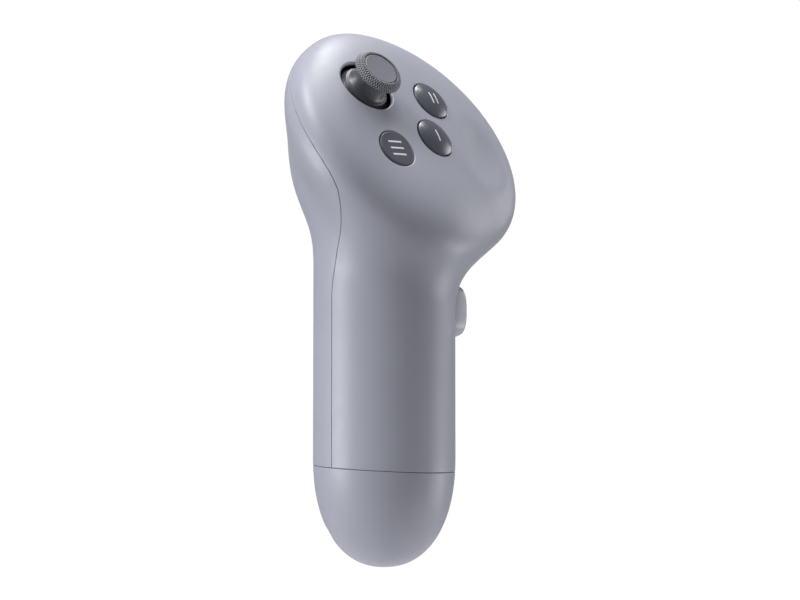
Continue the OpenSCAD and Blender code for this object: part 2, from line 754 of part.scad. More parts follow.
module tracking_leds() {
  color("white") in_head() for (a = [35 : 20 : 155]) {
    s = head_size([cos(a), sin(a), 0]);
    p = [(s.x - flex_margin + 0.6) * cos(a), (s.y - flex_margin + 0.6) * sin(a)];
    translate([p.x, p.y, 0]) rotate([0, 0, atan2(sin(a) / s.y, cos(a) / s.x)])
      cube([0.9, 2.6, 1.8], center = true);
  }
}
module flat_cable() {
  color("orange") translate([-3, tube_r + tube_wall + 0.6, tube_top - 4]) cube([6, 0.3, 32]);
}

// ---- trigger ----

module trigger_axis() {
  translate([0, trigger_pin_y, trigger_pin_z]) rotate([90, 0, 90]) children();
}
// Side view of the trigger, from its pin: ahead, up.
trigger_side = [[0, -2.4], [4.6, -4.2], [4.4, -9], [3.4, -14], [2.7, -18.6], [3.2, -20.4], [4.5, -21],
  [5.8, -20.4], [6.6, -18.6], [7.8, -15.4], [9.7, -11.8], [11, -8.6], [11.4, -5.4], [10.9, -2.6],
  [9.4, -1.2], [5, 0.6], [0, 2.4]];
barrel_r = 2.4;
module trigger() {
  gap_w = 5;
  color(body_colour) trigger_axis() difference() {
    union() {
      linear_extrude(height = trigger_w, center = true) polygon(trigger_side);
      cylinder(r = barrel_r, h = trigger_w, center = true);
    }
    cylinder(r = trigger_pin_r + fit_gap, h = 40, center = true);
    cylinder(r = barrel_r + 0.9, h = gap_w, center = true);
    translate([4.9, -13.6, 0]) rotate([0, 90, -8]) cylinder(r = 1.6, h = 3, center = true);
  }
}
module trigger_pin() {
  color("silver") trigger_axis() cylinder(r = trigger_pin_r, h = 2 * ear_x + 2.8, center = true);
}
module trigger_spring() {
  color("silver") trigger_axis() translate([0, 0, -2.1]) coil(1.55, 0.5, 4.2, 5);
}
module trigger_magnet() {
  color("gray") trigger_axis() translate([4.9, -13.6, 0]) rotate([0, 90, -8])
    cylinder(r = 1.5, h = 1.6, center = true);
}
module trigger_sensor() {
  color("black") translate([-2, 7.4, trigger_pin_z - 17]) cube([4, 1.2, 3]);
}

// ---- grip button ----

module grip_button() {
  lug = 3.4;
  color(body_colour) difference() {
    union() {
      difference() {
        intersection() {
          translate([0, 0, pad_z]) cylinder(r = pad_r, h = pad_h, $fn = 96);
          pad_wedge(pad_z, pad_h, 0, 0);
        }
        translate([0, 0, pad_z - 1]) cylinder(r = inner_r - 1, h = pad_h + 2, $fn = 96);
        intersection() {
          translate([0, 0, pad_z + 1.4]) cylinder(r = pad_r - 1.8, h = pad_h - 2.8, $fn = 96);
          pad_wedge(pad_z + 1.4, pad_h - 2.8, 0, -1.6);
          translate([grip_pin_at.x, grip_pin_at.y, 0]) cylinder(r = pad_far - 1.6, h = 50);
        }
      }
      for (z = [pad_z + 0.2, pad_z + pad_h - lug])
        translate([grip_pin_at.x, grip_pin_at.y, z]) cylinder(r = 1.95, h = lug - 0.2);
    }
    translate([grip_pin_at.x, grip_pin_at.y, -20]) cylinder(r = grip_pin_r + fit_gap, h = 60);
    translate([grip_pin_at.x, grip_pin_at.y, pad_z + lug]) cylinder(r = 1.75, h = pad_h - 2 * lug);
  }
}
module grip_pin() {
  color("silver") translate([grip_pin_at.x, grip_pin_at.y, pad_z - 2.6])
    cylinder(r = grip_pin_r, h = pad_h + 5.2);
}
module grip_spring() {
  color("silver") translate([grip_pin_at.x, grip_pin_at.y, pad_z + 3.8])
    coil(1.25, 0.4, pad_h - 7.6, 8);
}
magnet_dir = (pad_from + pad_to) / 2 - 6;
module grip_magnet() {
  color("gray") rotate([0, 0, magnet_dir]) translate([pad_r - 2.7, -1.5, pad_z + pad_h / 2 - 1.5])
    cube([0.78, 3, 3]);
}
module grip_sensor() {
  color("black") translate([post_x + 1.55, -4, pad_z + pad_h / 2 - 1.5]) cube([0.9, 3, 3]);
}

front_shell();
rear_shell();
battery_cap();
cap_contact();
chassis();
aa_cell();
battery_spring();
contact_strip();
thumbstick_cap();
thumbstick_disc();
thumbstick_dome();
stick_shaft();
stick_core();
gimbal_ring();
gimbal_bail();
stick_housing();
stick_spring();
centring_plate();
stick_switch();
upper_button();
upper_button_mark();
upper_rubber_dome();
lower_button();
lower_button_mark();
lower_rubber_dome();
menu_button();
menu_icon();
menu_rubber_dome();
main_board();
board_chips();
board_screws();
touch_pad();
led_flex();
tracking_leds();
haptic_motor();
flat_cable();
trigger();
trigger_pin();
trigger_spring();
trigger_magnet();
trigger_sensor();
grip_button();
grip_pin();
grip_spring();
grip_magnet();
grip_sensor();
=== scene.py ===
"""Looks of the VR motion controller: refined shells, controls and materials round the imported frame."""

import json
import math

import bpy
import numpy as np
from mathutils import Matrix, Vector


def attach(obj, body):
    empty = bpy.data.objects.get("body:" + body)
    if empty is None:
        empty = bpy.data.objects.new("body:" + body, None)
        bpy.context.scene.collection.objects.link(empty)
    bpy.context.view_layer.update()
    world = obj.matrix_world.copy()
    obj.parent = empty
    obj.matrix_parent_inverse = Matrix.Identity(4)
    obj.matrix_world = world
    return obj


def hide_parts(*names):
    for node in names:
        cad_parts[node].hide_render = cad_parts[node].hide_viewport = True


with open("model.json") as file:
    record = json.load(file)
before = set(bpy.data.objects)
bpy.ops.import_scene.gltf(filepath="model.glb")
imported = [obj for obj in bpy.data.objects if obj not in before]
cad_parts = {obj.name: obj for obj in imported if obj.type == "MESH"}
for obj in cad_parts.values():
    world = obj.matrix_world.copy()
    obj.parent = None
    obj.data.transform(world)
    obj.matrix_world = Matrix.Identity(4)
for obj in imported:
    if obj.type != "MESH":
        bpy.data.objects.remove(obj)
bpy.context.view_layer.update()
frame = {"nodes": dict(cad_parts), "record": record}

# Lengths are in millimetres until a mesh is made. Lights, floor and camera are in metres.
MM = 0.001

# ---- sizes of the body ----

GRIP_R = 18.1
GRIP_BELOW = 27.0
GRIP_ABOVE = 22.5
DOME_H = 28.0
DOME_POWER = 2.24
NECK_CAP_H = 20.0
HEAD_TILT = math.radians(31)
HEAD_TURN = math.radians(4.4)
HEAD_C = np.array([5.3, 1.7, 51.8])
HEAD_LEFT = 33.5
HEAD_RIGHT = 38.5
HEAD_TOP = 35.1
HEAD_BOTTOM = 34.4
FACE_RISE = 11.0
BELLY_DEPTH = 16.0
FACE_POWER = 3.0
BELLY_POWER = 1.93
NECK_BLEND = 11.4
LOBE_AT = np.array([-3.2, 9.4, 45.2])
LOBE_SIZE = np.array([15.2, 15.6, 11.8])
LOBE_TILT = math.radians(26)
LOBE_BLEND = 11.1
REST_AT = (21.2, -6.4)
REST_SIZE = np.array([19.0, 26.0, 12.0])
REST_TURN = math.radians(-18)
REST_DEPTH = 1.5
REST_BLEND = 0.8
WALL = 2.0
# The walls thin to this beside the openings that something moves in.
THIN_WALL = 0.9
SEAM_GAP = 0.12
SEAM_EDGE = 0.14
CAP_SEAM_Z = -30.0
CAP_SEAM_TILT = math.radians(4)
COLLAR_H = 5.0
SEAM_POINTS = np.array([
    [16, 0.9], [24, -1.4], [33, -6.4], [38, -7.9], [43, -6.6], [50, -2.2], [60, 5.4], [70, 13], [95, 30],
])
SEAM_SOFT = 3.0

# ---- sizes of the controls ----

STICK_AT = (-13.3, 11.5)
WELL_R = 7.7
WELL_EDGE = 0.6
PIVOT_DEPTH = 7.0
DOME_R = 8.85
DOME_WALL = 0.7
DOME_CLEAR = 0.3
DOME_LOW = 1.5
DOME_STEP_R = 6.3
SHAFT_R = 0.75
STICK_CAP_R = 6.7
STICK_TOP = 6.6
DISC_R = 4.8
UPPER_AT = (8.4, 9.0)
LOWER_AT = (2.8, -3.7)
MENU_AT = (-13.4, -8.5)
BUTTON_R = 5.5
BUTTON_RISE = 1.3
BUTTON_STEM = 6.0
MENU_R = 5.2
MENU_RISE = 0.1
HOLE_GAP = 0.22
HOLE_EDGE = 0.3
TRIGGER_W = 14.0
TRIGGER_PIN = np.array([0.0, 15.0, 52.0])
TRIGGER_DROP = 21.0
SLOT_GAP = 0.4
PAD_FROM = math.radians(-44.5)
PAD_TO = math.radians(22)
PAD_Z = 3.4
PAD_H = 13.7
PAD_OUT = 3.3
PAD_POWER = 4.4
PAD_EDGE = 0.9
PAD_CROWN = 2.5
GRIP_PIN_R = GRIP_R - WALL - 1.8
GRIP_PIN_ANGLE = PAD_TO - math.radians(9)
LANYARD_Y = 9.6
LANYARD_Z = -47.0
LANYARD_R = 1.2
LANYARD_RECESS_R = 2.2
LANYARD_FLAT_X = 8.0
COLLAR_R = 15.7
COLLAR_WALL = 1.3


def unit(v):
    return v / np.linalg.norm(v, axis=-1, keepdims=True)


HEAD_U = np.array([math.cos(HEAD_TURN), math.sin(HEAD_TURN), 0.0])
HEAD_N = np.array([
    math.sin(HEAD_TURN) * math.cos(HEAD_TILT),
    -math.cos(HEAD_TURN) * math.cos(HEAD_TILT),
    math.sin(HEAD_TILT),
])
HEAD_W = np.cross(HEAD_N, HEAD_U)
HEAD_AXES = np.stack([HEAD_U, HEAD_W, HEAD_N])


# ---- the skin as a signed distance, negative inside ----

def super_distance(q, size, ring_power, side_power):
    """Distance to a superellipsoid whose half sizes may differ from point to point."""
    a = np.abs(q[..., 0]) / size[..., 0] + 1e-9
    b = np.abs(q[..., 1]) / size[..., 1] + 1e-9
    e = np.abs(q[..., 2]) / size[..., 2] + 1e-9
    s = (a**ring_power + b**ring_power) ** (1 / ring_power)
    r = (s**side_power + e**side_power) ** (1 / side_power)
    k = r ** (1 - side_power) * s ** (side_power - ring_power)
    ga = k * a ** (ring_power - 1) / size[..., 0]
    gb = k * b ** (ring_power - 1) / size[..., 1]
    ge = r ** (1 - side_power) * e ** (side_power - 1) / size[..., 2]
    return (r - 1) / np.sqrt(ga**2 + gb**2 + ge**2)


def smooth_min(a, b, k):
    h = np.clip(0.5 + 0.5 * (b - a) / k, 0, 1)
    return b * (1 - h) + a * h - k * h * (1 - h)


def handle_distance(p):
    z = p[..., 2]
    low = z < -GRIP_BELOW
    over = np.where(low, -GRIP_BELOW - z, np.maximum(0, z - GRIP_ABOVE))
    end_h = np.where(low, DOME_H, NECK_CAP_H)
    q = np.stack([p[..., 0], p[..., 1], over], -1)
    size = np.stack([np.full_like(z, GRIP_R), np.full_like(z, GRIP_R), end_h], -1)
    return super_distance(q, size, 2, DOME_POWER)


def head_size(q):
    return np.stack([
        np.where(q[..., 0] > 0, HEAD_RIGHT, HEAD_LEFT),
        np.where(q[..., 1] > 0, HEAD_TOP, HEAD_BOTTOM),
        np.where(q[..., 2] > 0, FACE_RISE, BELLY_DEPTH),
    ], -1)


def head_distance(p):
    q = (p - HEAD_C) @ HEAD_AXES.T
    return super_distance(q, head_size(q), 2, np.where(q[..., 2] > 0, FACE_POWER, BELLY_POWER))


def lobe_distance(p):
    d = p - LOBE_AT
    along = d[..., 1] * math.sin(LOBE_TILT) + d[..., 2] * math.cos(LOBE_TILT)
    deep = d[..., 2] * math.sin(LOBE_TILT) - d[..., 1] * math.cos(LOBE_TILT)
    return super_distance(np.stack([d[..., 0], along, deep], -1), LOBE_SIZE, 2, 2)


def face_frame(q):
    """Place, right, up and normal of the face at a place (right, up) on the head."""
    size = head_size(np.array([q[0], q[1], 1.0]))
    share = math.hypot(q[0] / size[0], q[1] / size[1])
    height = FACE_RISE * (1 - share**FACE_POWER) ** (1 / FACE_POWER)
    k = share ** (FACE_POWER - 2)
    g = np.array([
        k * q[0] / size[0] ** 2,
        k * q[1] / size[1] ** 2,
        height ** (FACE_POWER - 1) / FACE_RISE**FACE_POWER,
    ])
    n = unit(g)
    r = unit(np.array([1.0, 0, 0]) - n[0] * n)
    local = np.array([r, np.cross(n, r), n])
    place = HEAD_C + np.array([q[0], q[1], height]) @ HEAD_AXES
    return place, local @ HEAD_AXES


REST_PLACE, REST_AXES = face_frame(REST_AT)
REST_C = REST_PLACE + (REST_SIZE[2] - REST_DEPTH) * REST_AXES[2]
REST_RIGHT = math.cos(REST_TURN) * REST_AXES[0] + math.sin(REST_TURN) * REST_AXES[1]
REST_FRAME = np.stack([REST_RIGHT, np.cross(REST_AXES[2], REST_RIGHT), REST_AXES[2]])


def rest_distance(p):
    return super_distance((p - REST_C) @ REST_FRAME.T, REST_SIZE, 2, 2)


def skin_distance(p):
    f = smooth_min(handle_distance(p), head_distance(p), NECK_BLEND)
    f = smooth_min(f, lobe_distance(p), LOBE_BLEND)
    return -smooth_min(-f, rest_distance(p), REST_BLEND)


def gradient(level, p, step=0.02):
    parts = []
    for axis in np.eye(3) * step:
        parts.append((level(p + axis) - level(p - axis)) / (2 * step))
    return np.stack(parts, -1)


def on_skin(p, rounds=4):
    for _ in range(rounds):
        g = gradient(skin_distance, p)
        p = p - (skin_distance(p) / np.sum(g * g, -1))[:, None] * g
    return p


# ---- levels that cut the skin, positive in what is taken away ----

def seam_height(z):
    def at(h):
        return np.interp(h, SEAM_POINTS[:, 0], SEAM_POINTS[:, 1])
    return (at(z - SEAM_SOFT) + 2 * at(z) + at(z + SEAM_SOFT)) / 4


def seam_level(side):
    """Keeps the front of the parting line for side -1 and the back for side 1."""
    def level(p):
        v = p[:, 1] * math.cos(HEAD_TURN) - p[:, 0] * math.sin(HEAD_TURN)
        slope = (seam_height(p[:, 2] + 0.5) - seam_height(p[:, 2] - 0.5))
        return (SEAM_GAP / 2 - side * (v - seam_height(p[:, 2]))) / np.sqrt(1 + slope**2) + SEAM_EDGE
    return level


def cap_level(side):
    """Keeps what lies above the battery cap's seam for side 1 and below it for side -1."""
    def level(p):
        height = (p[:, 2] - CAP_SEAM_Z) * math.cos(CAP_SEAM_TILT) - p[:, 1] * math.sin(CAP_SEAM_TILT)
        return SEAM_GAP / 2 - side * height + SEAM_EDGE
    return level


def hole_level(q, radius, edge):
    place, axes = face_frame(q)

    def level(p):
        d = (p - place) @ axes.T
        away = np.hypot(d[:, 0], d[:, 1]) + 1e3 * (np.abs(d[:, 2]) > 8)
        return radius + edge - away
    return level


def pad_outline(p):
    """Distance outside the grip button's outline, along the handle's surface."""
    middle = (PAD_FROM + PAD_TO) / 2
    half = np.array([(PAD_TO - PAD_FROM) / 2 * GRIP_R, PAD_H / 2])
    across = (np.arctan2(p[:, 1], p[:, 0]) - middle) * GRIP_R
    q = np.stack([across, p[:, 2] - PAD_Z - PAD_H / 2], -1)
    share = np.abs(q) / half + 1e-9
    r = np.sum(share**PAD_POWER, -1) ** (1 / PAD_POWER)
    g = (share / r[:, None]) ** (PAD_POWER - 1) / half
    return (r - 1) / np.linalg.norm(g, axis=-1)


def pad_level(p):
    return np.where(p[:, 0] > 0, HOLE_GAP + HOLE_EDGE - pad_outline(p), -1e3)


def slot_level(p):
    half = np.array([TRIGGER_W / 2 + SLOT_GAP, TRIGGER_DROP / 2 + 1.2])
    middle = TRIGGER_PIN[2] - TRIGGER_DROP / 2
    round_r = 1.6
    q = np.abs(np.stack([p[:, 0], p[:, 2] - middle], -1)) - half + round_r
    box = np.linalg.norm(np.maximum(q, 0), axis=-1) + np.minimum(np.max(q, -1), 0) - round_r
    return np.where(p[:, 1] > 6, HOLE_EDGE - box, -1e3)


def lanyard_level(p):
    away = np.hypot(p[:, 1] - LANYARD_Y, p[:, 2] - LANYARD_Z)
    return LANYARD_RECESS_R + HOLE_EDGE - away


# ---- the skin mesh and its cuts ----

def reach(origin, direction, far):
    near = np.zeros(len(origin))
    far = np.full(len(origin), far)
    for _ in range(34):
        middle = (near + far) / 2
        inside = skin_distance(origin + middle[:, None] * direction) < 0
        near = np.where(inside, middle, near)
        far = np.where(inside, far, middle)
    return origin + near[:, None] * direction


def grid_triangles(rows, columns):
    a = np.arange(rows - 1)[:, None] * columns + np.arange(columns)
    b = np.arange(rows - 1)[:, None] * columns + (np.arange(columns) + 1) % columns
    c, d = a + columns, b + columns
    return np.concatenate([
        np.stack([a, b, d], -1).reshape(-1, 3),
        np.stack([a, d, c], -1).reshape(-1, 3),
    ])


def skin_mesh():
    """The whole skin from the bottom of the handle to the top of the head."""
    around = 288
    dome_rings = 44
    grip_rings = 48
    head_rings = 150
    turn = 2 * math.pi * np.arange(around) / around
    flat = np.stack([np.cos(turn), np.sin(turn), 0 * turn], -1)
    bend_z = GRIP_ABOVE - 10
    probe = np.array([[HEAD_C[0], HEAD_C[1], HEAD_C[2]]])
    tops = [reach(probe, unit(np.array([[0.0, math.sin(t), math.cos(t)]])), 60)[0]
            for t in np.radians(np.linspace(-10, 60, 281))]
    top = max(tops, key=lambda t: t[2])

    rings = []
    for i in range(1, dome_rings + 1):
        t = math.pi / 2 * (1 - i / dome_rings)
        direction = math.cos(t) * flat - math.sin(t) * np.array([0, 0, 1.0])
        rings.append((np.array([0, 0, -GRIP_BELOW]), direction))
    for i in range(1, grip_rings + 1):
        rings.append((np.array([0, 0, -GRIP_BELOW + (bend_z + GRIP_BELOW) * i / grip_rings]), flat))
    for i in range(1, head_rings):
        z = bend_z + (top[2] - bend_z) * math.sin(math.pi / 2 * i / head_rings)
        bends = [-1e3, GRIP_ABOVE, HEAD_C[2], top[2]]
        x = np.interp(z, bends, [0, 0, HEAD_C[0], top[0]])
        y = np.interp(z, bends, [0, 0, HEAD_C[1], top[1]])
        rings.append((np.array([x, y, z]), flat))
    origin = np.concatenate([np.tile(c, (around, 1)) for c, _ in rings])
    direction = np.concatenate([d for _, d in rings])
    points = reach(origin, direction, 70.0)
    bottom = np.array([0, 0, -GRIP_BELOW - DOME_H])
    count = len(points)
    last = count - around
    nxt = (np.arange(around) + 1) % around
    triangles = np.concatenate([
        grid_triangles(len(rings), around),
        np.stack([last + np.arange(around), last + nxt, np.full(around, count)], -1),
        np.stack([nxt, np.arange(around), np.full(around, count + 1)], -1),
    ])
    return np.concatenate([points, [top, bottom]]), triangles


def settle(p, on, cuts):
    """Moves points onto the skin and onto every level that they belong to."""
    for _ in range(5):
        p = on_skin(p, 1)
        n = unit(gradient(skin_distance, p))
        for k, (level, _) in enumerate(cuts):
            rows = np.flatnonzero(on[:, k])
            if len(rows):
                g = gradient(level, p[rows])
                g = g - np.sum(g * n[rows], -1, keepdims=True) * n[rows]
                p[rows] -= (level(p[rows]) / np.maximum(np.sum(g * g, -1), 0.05))[:, None] * g
    return on_skin(p, 1)


def cut(p, triangles, on, cuts, index, snap=0.2):
    """Takes away what lies where the level is positive; the new border lies on the level."""
    level = cuts[index][0]
    value = level(p)
    near = np.flatnonzero(np.abs(value) < snap)
    used = np.zeros(len(p), bool)
    used[triangles.ravel()] = True
    near = near[used[near]]
    if len(near):
        on[near, index] = True
        p[near] = settle(p[near], on[near], cuts)
        value[near] = 0
    state = np.sign(value[triangles])
    keep = (state <= 0).all(1) & (state < 0).any(1)
    mixed = (state > 0).any(1) & (state < 0).any(1)
    flat = (state == 0).all(1)
    keep |= flat & (level(p[triangles].mean(1)) < 0)
    work = triangles[mixed]
    edges = np.concatenate([work[:, [0, 1]], work[:, [1, 2]], work[:, [2, 0]]])
    edges = np.sort(edges[value[edges[:, 0]] * value[edges[:, 1]] < 0], axis=1)
    edges = np.unique(edges, axis=0)
    a, b = edges[:, 0], edges[:, 1]
    t = (value[a] / (value[a] - value[b]))[:, None]
    fresh_on = on[a] & on[b]
    fresh_on[:, index] = True
    fresh = settle(p[a] * (1 - t) + p[b] * t, fresh_on, cuts)
    where = {(int(i), int(j)): len(p) + k for k, (i, j) in enumerate(edges)}
    made = []
    for tri in work:
        ring = []
        for i in range(3):
            here, after = int(tri[i]), int(tri[(i + 1) % 3])
            if value[here] <= 0:
                ring.append(here)
            if value[here] * value[after] < 0:
                ring.append(where[(min(here, after), max(here, after))])
        if len(ring) == 4:
            made.append([ring[0], ring[1], ring[2]])
            made.append([ring[0], ring[2], ring[3]])
        elif len(ring) == 3:
            made.append(ring)
    kept = triangles[keep]
    if made:
        kept = np.concatenate([kept, np.array(made)])
    return np.concatenate([p, fresh]), kept, np.concatenate([on, fresh_on])


def compact(p, triangles, on):
    used, triangles = np.unique(triangles, return_inverse=True)
    return p[used], triangles.reshape(-1, 3), on[used]


def border_edges(triangles):
    """Directed edges that belong to one triangle only."""
    edges = np.concatenate([triangles[:, [0, 1]], triangles[:, [1, 2]], triangles[:, [2, 0]]])
    key = np.sort(edges, axis=1)
    _, first, count = np.unique(key, axis=0, return_index=True, return_counts=True)
    return edges[first[count == 1]]


def rim_directions(p, on, cuts, normals, edges):
    """For each border point, the way out of the sheet and the radius of its edge."""
    out = {}
    tangents = []
    for level, _ in cuts:
        g = gradient(level, p)
        g = g - np.sum(g * normals, -1, keepdims=True) * normals
        tangents.append(g / np.maximum(np.linalg.norm(g, axis=-1, keepdims=True), 1e-6))
    for a, b in edges:
        shared = np.flatnonzero(on[a] & on[b])
        k = int(shared[0]) if len(shared) else 0
        for i in (int(a), int(b)):
            out.setdefault(i, set()).add(k)
    ids = np.array(sorted(out))
    ways = np.zeros((len(ids), 3))
    radii = np.zeros(len(ids))
    for row, i in enumerate(ids):
        ks = sorted(out[i])
        radii[row] = min(cuts[k][1] for k in ks)
        if len(ks) == 1:
            ways[row] = tangents[ks[0]][i]
        else:
            t1, t2 = tangents[ks[0]][i], tangents[ks[1]][i]
            ways[row] = (t1 + t2) / max(0.5, 1 + t1 @ t2)
    return ids, ways, radii


def wall_at(p):
    """Wall thickness: thinner beside the thumbstick's well, the trigger's slot and the grip's window."""
    near = np.maximum(hole_level(STICK_AT, WELL_R, WELL_EDGE)(p), np.maximum(slot_level(p), pad_level(p)))
    share = np.clip(1 + near / 3, 0, 1)
    return (WALL - (WALL - THIN_WALL) * share**2 * (3 - 2 * share))[:, None]


def sheet_solid(p, triangles, on, cuts, steps=5):
    """Thickens a cut sheet of skin into a closed wall with rounded edges."""
    p, triangles, on = compact(p, triangles, on)
    wall = wall_at(p)
    normals = unit(gradient(skin_distance, p))
    edges = border_edges(triangles)
    ids, ways, radii = rim_directions(p, on, cuts, normals, edges)
    place = {int(i): row for row, i in enumerate(ids)}
    n = normals[ids]
    side = unit(ways)
    points = [p]
    shades = [normals]
    starts = []
    total = len(p)
    for step in range(1, steps + 1):
        a = math.pi / 2 * step / steps
        r = radii[:, None]
        points.append(p[ids] + ways * r * math.sin(a) - n * r * (1 - math.cos(a)))
        shades.append(unit(n * math.cos(a) + side * math.sin(a)))
        starts.append(total)
        total += len(ids)
    points.append(p[ids] + ways * radii[:, None] - n * wall[ids])
    shades.append(unit(side * 2 - n))
    starts.append(total)
    total += len(ids)
    inner = total
    points.append(p - normals * wall)
    shades.append(-normals)

    ea = np.array([place[int(i)] for i in edges[:, 0]])
    eb = np.array([place[int(i)] for i in edges[:, 1]])
    faces = [triangles, triangles[:, ::-1] + inner]
    rows_a = [edges[:, 0]] + [s + ea for s in starts] + [edges[:, 0] + inner]
    rows_b = [edges[:, 1]] + [s + eb for s in starts] + [edges[:, 1] + inner]
    for i in range(len(rows_a) - 1):
        faces.append(np.stack([rows_b[i], rows_a[i], rows_a[i + 1]], -1))
        faces.append(np.stack([rows_b[i], rows_a[i + 1], rows_b[i + 1]], -1))
    return np.concatenate(points), np.concatenate(faces), np.concatenate(shades)


def cut_solid(p, triangles, cuts):
    on = np.zeros((len(p), len(cuts)), bool)
    p = p.copy()
    for index in range(len(cuts)):
        p, triangles, on = cut(p, triangles, on, cuts, index)
    return sheet_solid(p, triangles, on, cuts)


# ---- making objects ----

def mesh_object(name, points, faces, shades=None, sharp=None):
    mesh = bpy.data.meshes.new(name)
    mesh.from_pydata((np.asarray(points) * MM).tolist(), [], np.asarray(faces).tolist())
    mesh.validate(clean_customdata=False)
    mesh.polygons.foreach_set("use_smooth", [True] * len(mesh.polygons))
    if sharp is not None:
        mesh.set_sharp_from_angle(angle=math.radians(sharp))
    if shades is not None:
        mesh.normals_split_custom_set_from_vertices(np.asarray(shades).tolist())
    piece = bpy.data.objects.new(name, mesh)
    bpy.context.scene.collection.objects.link(piece)
    return piece


def finish_piece(piece, node, material):
    """Puts a piece in the place of its CAD node."""
    body = next(b for b, nodes in frame["record"]["behaviour"]["bodies"].items() if node in nodes)
    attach(piece, body)
    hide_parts(node)
    piece.data.materials.clear()
    piece.data.materials.append(material)
    return piece


def round_line(points, radius, steps=5):
    """A line of (r, z) points with its inner corners rounded."""
    points = [np.array(q, float) for q in points]
    out = [points[0]]
    for a, b, c in zip(points, points[1:], points[2:]):
        size = min(radius, 0.45 * np.linalg.norm(b - a), 0.45 * np.linalg.norm(c - b))
        start = b + unit(a - b) * size
        end = b + unit(c - b) * size
        for i in range(steps + 1):
            t = i / steps
            out.append((1 - t) ** 2 * start + 2 * t * (1 - t) * b + t**2 * end)
    return out + [points[-1]]


def lathe(line, around, closed):
    """Turns a line of (r, z) points about z. The line starts and ends on the axis unless it is closed."""
    turn = 2 * math.pi * np.arange(around) / around
    ring = np.stack([np.cos(turn), np.sin(turn)], -1)
    line = np.array(line)
    body = line if closed else line[1:-1]
    points = [np.column_stack([ring * r, np.full(around, z)]) for r, z in body]
    points = np.concatenate(points)
    rows = len(body)
    faces = [grid_triangles(rows, around)]
    nxt = (np.arange(around) + 1) % around
    last = (rows - 1) * around
    if closed:
        a, b = last + np.arange(around), last + nxt
        faces.append(np.concatenate([np.stack([a, b, nxt], -1), np.stack([a, nxt, np.arange(around)], -1)]))
    else:
        count = len(points)
        ends = np.array([[0, 0, line[0][1]], [0, 0, line[-1][1]]])
        points = np.concatenate([points, ends])
        faces.append(np.stack([nxt, np.arange(around), np.full(around, count)], -1))
        faces.append(np.stack([last + np.arange(around), last + nxt, np.full(around, count + 1)], -1))
    return points, np.concatenate(faces)


def at_frame(points, place, axes):
    return place + np.asarray(points) @ axes


def dome_line(rise, edge, r, steps=18):
    """The crown of a button from the axis out: (r, z) points."""
    return [[(r - 0.35) * i / steps, edge + (rise - edge) * (1 - (i / steps) ** 2)] for i in range(steps + 1)]


def button_piece(name, q, r, rise, edge, material):
    place, axes = face_frame(q)
    flange = WALL + 0.6
    crown = dome_line(rise, edge, r)
    skirt = [[r - 0.1, edge - 0.12], [r, edge - 0.4], [r, -flange], [r + 0.8, -flange],
             [r + 0.8, -flange - 0.8], [2.4, -flange - 0.8], [2.2, -BUTTON_STEM], [0, -BUTTON_STEM]]
    line = (crown + skirt)[::-1]
    points, faces = lathe(line, 128, False)
    piece = mesh_object(name, at_frame(points, place, axes), faces, sharp=38)
    return finish_piece(piece, name, material)


def bar_piece(name, q, bars, top, material, low=0.3):
    """Bars with round ends (x, y, half width, half length, turn) that follow a button's surface."""
    place, axes = face_frame(q)
    points, faces = [], []
    for x, y, half_w, half_l, turn in bars:
        along = half_l * np.sin(np.linspace(-math.pi / 2, math.pi / 2, 25)[1:-1])
        past = np.maximum(0, np.abs(along) - half_l + half_w) / half_w
        wide = half_w * np.sqrt(1 - past**2)
        ring = np.concatenate([np.stack([wide, along], -1), np.stack([-wide, along], -1)[::-1]])
        count = len(ring)
        base = len(points)
        for grow, dz in ((0.0, -low), (0.0, -0.03), (-0.04, 0.0)):
            flat = ring * (1 + grow / half_w * np.array([1, half_w / half_l]))
            px = x + flat[:, 0] * math.cos(turn) - flat[:, 1] * math.sin(turn)
            py = y + flat[:, 0] * math.sin(turn) + flat[:, 1] * math.cos(turn)
            points.extend(np.stack([px, py, top(np.hypot(px, py)) + dz], -1))
        faces.append(base + grid_triangles(3, count))
        k = np.arange(count // 2 - 1)
        quads = np.stack([k, k + 1, count - 2 - k, count - 1 - k], -1)
        lid = base + 2 * count + np.concatenate([quads[:, [0, 1, 2]], quads[:, [0, 2, 3]]])
        foot = base + np.concatenate([quads[:, [2, 1, 0]], quads[:, [3, 2, 0]]])
        faces.extend([lid, foot])
    piece = mesh_object(name, at_frame(points, place, axes), np.concatenate(faces), sharp=45)
    return finish_piece(piece, name, material)


def stick_frame():
    place, axes = face_frame(STICK_AT)
    return place - PIVOT_DEPTH * axes[2], axes


